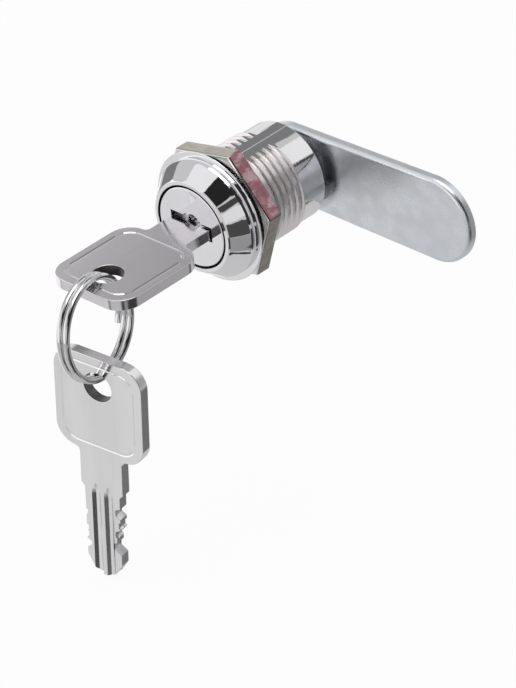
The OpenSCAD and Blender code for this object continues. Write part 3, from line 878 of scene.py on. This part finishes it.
@dataclass
class Keys:
    """The key in the plug and the spare key on the ring, which are cut alike."""

    shoulder_y: float = -4.25
    thickness: float = 2.1
    hole_y: float = -22.7
    hang: Triple = (2.335, -33.395, -15.624)
    hang_lean: float = 4.2
    hang_yaw: float = 9.4
    hang_drop: float = 1.85
    ease_bow: float = 0.14
    ease_blade: float = 0.1
    border_depth: float = 0.15
    border_shown: float = 0.12
    border_run: float = 0.2
    border_side: float = 0.09
    border_power: int = 16
    groove_x: float = 1.3
    groove_half: float = 0.6
    groove_widen: float = 1.7
    finish: KeyNickel = field(default_factory=lambda: KeyNickel(
        "key_nickel_satin", (0.81, 0.785, 0.815), (0.75, 0.727, 0.757), 0.17, spread=0.08, blotch=0.2, grain=6.0,
        stretch=(1.0, 0.12, 1.0), bump=0.25, bump_mm=0.01))
    spare_colour: Triple = (0.85, 0.848, 0.855)
    spare_shade: Triple = (0.79, 0.787, 0.793)

    def hole(self) -> Vector:
        """The middle of the hole of the key in the plug, in millimetres."""
        return Vector((0.0, self.hole_y + self.shoulder_y, 0.0))

    def wall_height(self, edge: Edge) -> float:
        """Height of the wall that an edge on a broad face bounds, in millimetres, or 0 for other edges."""
        walls = [face for face in edge.link_faces if abs(face.normal.z) < 0.2]
        on_face = abs(abs(middle(edge).z) / MM - self.thickness / 2) < TOUCH_MM
        if len(walls) != 1 or not on_face:
            return 0.0
        heights = [vertex.co.z for vertex in walls[0].verts]
        return (max(heights) - min(heights)) / MM

    def outer(self, edge: Edge) -> bool:
        """Whether an edge runs between a broad face and a wall of the whole thickness."""
        return self.wall_height(edge) > 0.45 * self.thickness

    def bordering(self, edge: Edge) -> bool:
        """Whether an edge is at the top of the coined border line."""
        return 0.05 < self.wall_height(edge) < 0.2

    def slope_border(self, piece: Piece) -> None:
        """Leans the walls of the coined border line, more so along the bow's sides, and raises its floor.

        Args:
            piece: The copied key.
        """
        mesh = bmesh.new()
        mesh.from_mesh(piece.data)
        lean: dict[bmesh.types.BMVert, Vector] = {}
        for edge in mesh.edges:
            if self.bordering(edge):
                wall = min(edge.link_faces, key=lambda face: abs(face.normal.z))
                for vertex in wall.verts:
                    lean[vertex] = lean.get(vertex, Vector()) + wall.normal
        for vertex, normal in lean.items():
            inward = normal.normalized()
            run = self.border_run + self.border_side * inward.x ** self.border_power
            at_top = abs(abs(vertex.co.z) / MM - self.thickness / 2) < TOUCH_MM
            vertex.co += inward * (-0.5 if at_top else 0.5) * run * MM
        floor = self.thickness / 2 - self.border_depth
        for vertex in mesh.verts:
            if vertex.co.y < self.shoulder_y * MM and abs(abs(vertex.co.z) / MM - floor) < TOUCH_MM:
                vertex.co.z = math.copysign(self.thickness / 2 - self.border_shown, vertex.co.z) * MM
        mesh.to_mesh(piece.data)
        mesh.free()

    def widen_grooves(self, piece: Piece) -> None:
        """Widens the milled grooves about their own centre lines, to the width that the photograph shows.

        Args:
            piece: The copied key.
        """
        for vertex in piece.data.vertices:
            side = math.copysign(self.groove_x, vertex.co.x)
            out = vertex.co.x / MM - side
            if vertex.co.y > self.shoulder_y * MM and abs(out) < self.groove_half:
                vertex.co.x = (side + out * self.groove_widen) * MM

    def build(self) -> Piece:
        """Shapes the border line and the grooves of the key in the plug, rounds its outline and returns it."""
        piece = Bench.copy_node("key", "key_cut")
        front = (self.shoulder_y - 0.4) * MM
        self.slope_border(piece)
        self.widen_grooves(piece)
        Bench.bevel(piece, lambda edge: middle(edge).y < front and self.outer(edge), self.ease_bow, 4)
        Bench.bevel(piece, lambda edge: middle(edge).y > front and self.outer(edge), self.ease_blade, 2)
        Bench.smooth(piece, 30.0)
        return piece

    def hung(self) -> Matrix:
        """The place of the spare key's hole on the ring, with the hole's axis along its Z."""
        return (Matrix.Translation(Vector(self.hang) * MM)
                @ Matrix.Rotation(math.radians(self.hang_yaw), 4, "Z")
                @ Matrix.Rotation(math.radians(self.hang_lean), 4, "Y")
                @ Matrix.Translation((0.0, 0.0, -self.hang_drop * MM))
                @ Matrix.Rotation(math.radians(-90.0), 4, "X"))

    def spare(self, key: Piece) -> Piece:
        """Copies the key to its place on the ring.

        Args:
            key: The finished key in the plug.

        Returns:
            The spare key, with a mesh of its own.
        """
        piece = bpy.data.objects.new("spare_key_cut", key.data.copy())
        piece.data.name = "spare_key_cut"
        bpy.context.scene.collection.objects.link(piece)
        piece.data.transform(self.hung() @ Matrix.Translation(-self.hole() * MM))
        return piece

    def dress(self) -> None:
        """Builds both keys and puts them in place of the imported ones."""
        key = self.build()
        spare = self.spare(key)
        nickel = replace(self.finish, hole=tuple(self.hole()))
        Bench.place(key, Body.KEY, Slot.KEY, nickel.make(), "key")
        place = self.hung()
        nickel = replace(self.finish, name="spare_nickel_satin", colour=self.spare_colour, shade=self.spare_shade,
                         stretch=(1.0, 1.0, 0.12), turn=(0.0, -self.hang_lean, -self.hang_yaw),
                         hole=tuple(place.translation / MM), axis=tuple(place.col[2].xyz))
        Bench.place(spare, Body.SPARE, Slot.KEY, nickel.make(), "spare_key")


@dataclass
class SplitRing:
    """Two turns of wire and a short overlap, wound side by side."""

    centre: Triple = (1.3, -32.63, -6.53)
    mid_r: float = 9.06
    wire_r: float = 0.638
    yaw: float = 10.4
    tilt: float = -4.7
    start: float = 65.0
    overlap: float = 24.0
    every: float = 2.0
    turns: int = 2
    roundness: int = 8
    finish: Metal = field(default_factory=lambda: Metal(
        "ring_steel_polished", (0.74, 0.74, 0.75), (0.66, 0.66, 0.67), 0.05, spread=0.03, blotch=0.4,
        grain=3.0, bump=0.02, bump_mm=0.01))

    def route(self) -> list[Vector]:
        """Follows the wire from one free end to the other.

        Returns:
            Points of its centre line, in the ring's own frame, in millimetres.
        """
        run = 360.0 * self.turns + self.overlap
        count = int(round(run / self.every))
        points = []
        for index in range(count + 1):
            turned = run * index / count
            angle = math.radians(self.start + turned)
            aside = 2.0 * self.wire_r * (turned / 360.0 - 1.0)
            points.append(Vector((self.mid_r * math.cos(angle), self.mid_r * math.sin(angle), aside)))
        return points

    def build(self) -> Piece:
        """Sweeps the wire along its route and returns the ring."""
        points = self.route()
        bpy.ops.object.select_all(action="DESELECT")
        bpy.ops.curve.primitive_nurbs_path_add()
        wire = Bench.named("split_ring_wire")
        wire.data.splines.clear()
        spline = wire.data.splines.new("POLY")
        spline.points.add(len(points) - 1)
        for point, at in zip(spline.points, points):
            point.co = (*(at * MM), 1.0)
        wire.data.bevel_depth = self.wire_r * MM
        wire.data.bevel_resolution = self.roundness
        wire.data.use_fill_caps = True
        Bench.pick(wire)
        bpy.ops.object.convert(target="MESH")
        piece = Bench.named("split_ring_wire")
        piece.data.transform(Matrix.Translation(Vector(self.centre) * MM)
                             @ Matrix.Rotation(math.radians(self.yaw), 4, "Z")
                             @ Matrix.Rotation(math.radians(self.tilt), 4, "Y")
                             @ Matrix.Rotation(math.radians(90.0), 4, "Y"))
        Bench.smooth(piece, 40.0)
        return piece

    def dress(self) -> None:
        """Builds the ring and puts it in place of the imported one."""
        Bench.place(self.build(), Body.RING, Slot.RING, self.finish.make(), "split_ring")


# Studio


@dataclass(frozen=True)
class Card:
    """A white or dark card around the object, from one direction to another, in degrees."""

    start: tuple[float, float]
    end: tuple[float, float]
    half_width: float
    tone: float
    soft: float = 1.0


def direction(azimuth: float, elevation: float) -> Vector:
    """The direction at an azimuth counted from -Y towards +X, and an elevation, both in degrees."""
    a, e = math.radians(azimuth), math.radians(elevation)
    return Vector((math.sin(a) * math.cos(e), -math.cos(a) * math.cos(e), math.sin(e)))


@dataclass
class Studio:
    """Camera, pale floor and the soft room that the metal mirrors."""

    azimuth: float = 45.515
    elevation: float = 32.709
    roll: float = 5.215
    distance: float = 737.471
    aside: float = 5.442
    above: float = -23.668
    lens: float = 219.42
    room: float = 0.62
    below: float = 0.60
    floor_size: float = 6.0
    floor_gap: float = 0.5
    floor_tone: float = 0.86
    floor_glow: float = 0.94
    lamp_side: float = 0.9
    lamp_power: float = 4.6
    lamp_at: Triple = (0.05, 0.08, 1.1)
    cards: tuple[Card, ...] = (
        # The light and the dark side of the ring's wire
        Card((-88.0, 0.0), (12.0, 8.0), 17.0, 1.2, 3.0),
        Card((91.0, -8.0), (86.0, 62.0), 33.0, 0.03, 3.0),
        # The top of the bezel's cone, and the faces that look along -Y
        Card((-10.0, 44.0), (-68.0, 40.0), 19.0, 0.9, 2.0),
        Card((-22.0, -33.0), (-50.0, -31.0), 13.0, 0.76, 8.0),
        # The bands down the right of the cone
        Card((41.3, 37.4), (-4.5, 58.8), 7.5, 0.02),
        Card((48.5, 25.2), (43.0, 34.6), 7.5, 0.06),
        Card((55.6, 3.8), (49.2, 23.7), 9.0, 0.80),
        Card((59.9, -23.3), (56.2, 1.3), 8.0, 0.07),
        Card((61.8, -52.0), (60.0, -24.0), 8.0, 0.32, 2.0),
        Card((62.1, -58.5), (61.9, -54.0), 8.0, 0.03),
        # Upright walls: dark where they face right or the camera, white where they face left
        Card((94.0, -52.0), (94.0, -14.0), 21.0, 0.05, 3.0),
        Card((39.0, -34.0), (54.0, -34.0), 11.0, 0.05, 2.0),
        Card((-66.0, -33.0), (-128.0, -33.0), 13.0, 1.05, 4.0),
        # The dark band on the left of the cone
        Card((-90.5, 11.0), (-110.0, -16.5), 8.0, 0.22),
        # The right of the barrel, and the right walls of the keys
        Card((128.0, -22.0), (129.5, 26.0), 14.0, 0.34, 3.0),
        Card((146.0, -43.0), (131.0, -22.0), 13.0, 0.42, 4.0),
        Card((154.0, -44.0), (153.0, -22.0), 7.0, 0.15, 3.0),
        # The bright band along the barrel, with a dark line beside it
        Card((139.0, 28.0), (172.0, 52.0), 13.0, 0.90, 1.5),
        Card((127.0, 25.5), (146.0, 27.5), 1.6, 0.05),
        # The faces that look up: the key and the barrel's flat, then the nut
        Card((-172.0, 46.0), (-132.0, 33.0), 9.0, 0.22, 4.0),
        Card((-127.0, -12.0), (-128.0, 23.0), 9.0, 0.85, 3.0),
    )

    def camera(self) -> None:
        """Sets the camera at the photograph's angle, with no shift."""
        back = direction(self.azimuth, self.elevation)
        right = Vector((math.cos(math.radians(self.azimuth)), math.sin(math.radians(self.azimuth)), 0.0))
        up = back.cross(right)
        roll = math.radians(self.roll)
        side = right * math.cos(roll) - up * math.sin(roll)
        head = right * math.sin(roll) + up * math.cos(roll)
        place = (right * self.aside + up * self.above + back * self.distance) * MM
        data = bpy.data.cameras.new("camera")
        data.lens = self.lens
        data.sensor_width = 36.0
        data.clip_start = 0.01
        data.clip_end = 20.0
        camera = bpy.data.objects.new("camera", data)
        bpy.context.scene.collection.objects.link(camera)
        turn = Matrix((side, head, back)).transposed().to_4x4()
        camera.matrix_world = Matrix.Translation(place) @ turn
        bpy.context.scene.camera = camera

    def card_group(self) -> bpy.types.NodeTree:
        """Builds the mask of one card.

        Returns:
            A group that gives 1 where a direction meets the card.
        """
        inputs = [(label, "NodeSocketVector", None) for label in ("Direction", "Centre", "Along", "Across")]
        inputs += [(label, "NodeSocketFloat", None) for label in ("Half Length", "Half Width", "Soft")]
        graph, given, result = Effects.start("studio_card", inputs, [("Mask", "NodeSocketFloat")])
        ray = given.outputs["Direction"]
        ahead = graph.vector("DOT_PRODUCT", ray, given.outputs["Centre"])
        safe = graph.math("MAXIMUM", ahead, 0.001)
        mask = graph.math("GREATER_THAN", ahead, 0.01)
        for axis, limit in (("Along", "Half Length"), ("Across", "Half Width")):
            aside = graph.vector("DOT_PRODUCT", ray, given.outputs[axis])
            reach = graph.math("ABSOLUTE", graph.math("DIVIDE", aside, safe))
            edge = graph.math("SUBTRACT", reach, given.outputs[limit])
            share = graph.math("DIVIDE", edge, given.outputs["Soft"])
            mask = graph.math("MULTIPLY", mask, graph.step(share, -0.5, 0.5, 1.0, 0.0))
        graph.tree.links.new(mask, result.inputs["Mask"])
        return graph.tree

    def world(self) -> None:
        """Builds the room: white for the camera, with cards for the metal to mirror."""
        world = bpy.data.worlds.new("studio")
        bpy.context.scene.world = world
        world.use_nodes = True
        world.node_tree.nodes.clear()
        graph = Graph(world.node_tree)
        ray = graph.add("ShaderNodeTexCoord").outputs["Generated"]
        parts = graph.add("ShaderNodeSeparateXYZ", {0: ray})
        tone = graph.blend(graph.step(parts.outputs[2], -0.05, 0.05), grey(self.below), grey(self.room))
        group = self.card_group()
        for card in self.cards:
            start, end = direction(*card.start), direction(*card.end)
            centre = (start + end).normalized()
            along = (end - start).normalized()
            node = graph.add("ShaderNodeGroup",
                             {"Direction": ray, "Centre": centre, "Along": along, "Across": centre.cross(along),
                              "Half Length": math.tan(start.angle(end) / 2),
                              "Half Width": math.tan(math.radians(card.half_width)),
                              "Soft": math.tan(math.radians(card.soft))},
                             node_tree=group)
            tone = graph.blend(node.outputs[0], tone, grey(card.tone))
        room = graph.add("ShaderNodeBackground", {"Color": tone})
        white = graph.add("ShaderNodeBackground", {"Color": grey(1.0)})
        seen = graph.add("ShaderNodeLightPath").outputs["Is Camera Ray"]
        mixed = graph.add("ShaderNodeMixShader", {0: seen, 1: room.outputs[0], 2: white.outputs[0]})
        graph.add("ShaderNodeOutputWorld", {"Surface": mixed.outputs[0]})

    def floor(self) -> None:
        """Lays a plain pale floor just under the object, white to the camera but for a faint shadow."""
        bpy.ops.object.select_all(action="DESELECT")
        bpy.ops.mesh.primitive_plane_add(size=self.floor_size,
                                         location=(0.0, 0.0, CAD_BOX[0][2] - self.floor_gap * MM))
        floor = Bench.named("floor")
        material = bpy.data.materials.new("floor_white")
        material.use_nodes = True
        graph = Graph(material.node_tree)
        graph.tree.nodes.clear()
        paint = graph.add("ShaderNodeBsdfDiffuse", {"Color": grey(self.floor_tone)})
        glow = graph.add("ShaderNodeEmission", {"Color": grey(1.0), "Strength": 1.0})
        path = graph.add("ShaderNodeLightPath")
        share = graph.math("MULTIPLY", path.outputs["Is Camera Ray"], self.floor_glow)
        mixed = graph.add("ShaderNodeMixShader", {0: share, 1: paint.outputs[0], 2: glow.outputs[0]})
        graph.add("ShaderNodeOutputMaterial", {"Surface": mixed.outputs[0]})
        floor.data.materials.append(material)
        floor.visible_glossy = False

    def lamps(self) -> None:
        """Hangs one large soft lamp overhead."""
        data = bpy.data.lights.new("overhead", "AREA")
        data.shape = "RECTANGLE"
        data.size = self.lamp_side
        data.size_y = self.lamp_side
        data.energy = self.lamp_power
        lamp = bpy.data.objects.new("overhead", data)
        lamp.location = self.lamp_at
        bpy.context.scene.collection.objects.link(lamp)

    def build(self) -> None:
        """Sets up the camera, the room, the floor and the lamp."""
        bpy.context.scene.view_settings.view_transform = "Standard"
        self.camera()
        self.world()
        self.floor()
        self.lamps()


def main() -> None:
    """Builds the studio and every sub-assembly in order."""
    logging.basicConfig(level=logging.INFO, format="%(name)s: %(message)s")
    Studio().build()
    for assembly in (Housing(), MountingNut(), Plug(), RearStack(), Keys(), SplitRing()):
        assembly.dress()


if __name__ == "__main__":
    main()
